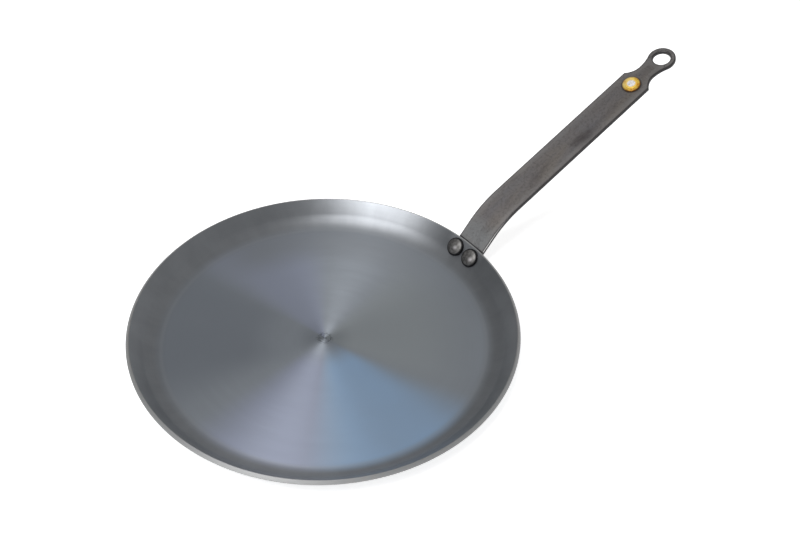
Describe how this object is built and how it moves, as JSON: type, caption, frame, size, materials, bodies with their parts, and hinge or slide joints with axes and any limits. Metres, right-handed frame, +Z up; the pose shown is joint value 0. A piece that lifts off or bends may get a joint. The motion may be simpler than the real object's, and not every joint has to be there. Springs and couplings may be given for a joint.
{
  "type": "crepe pan",
  "caption": "Low round crepe pan of bare sheet steel with a flared wall and a long, bent strap handle, riveted on, with a round badge and a ring end to hang it by.",
  "frame": {"origin": "centre of the flat underside that stands on the stove, on the pan's axis", "axes": "+Z up along the pan's axis, +X from the pan's axis towards the end of the handle"},
  "size_m": [0.4503, 0.2596, 0.1004],
  "materials": {
    "pan_steel": "satin, turned in fine circles",
    "strap_steel": "dark rolled skin, satin and mottled",
    "rivet_steel": "dark polished steel",
    "badge_brass": "polished",
    "badge_face": "pale, polished"
  },
  "bodies": {
    "root": {"pan_body": "pan_steel", "handle": "strap_steel", "rivet_left": "rivet_steel", "rivet_right": "rivet_steel", "badge_plug": "badge_brass", "badge_inlay": "badge_face"}
  },
  "joints": []
}
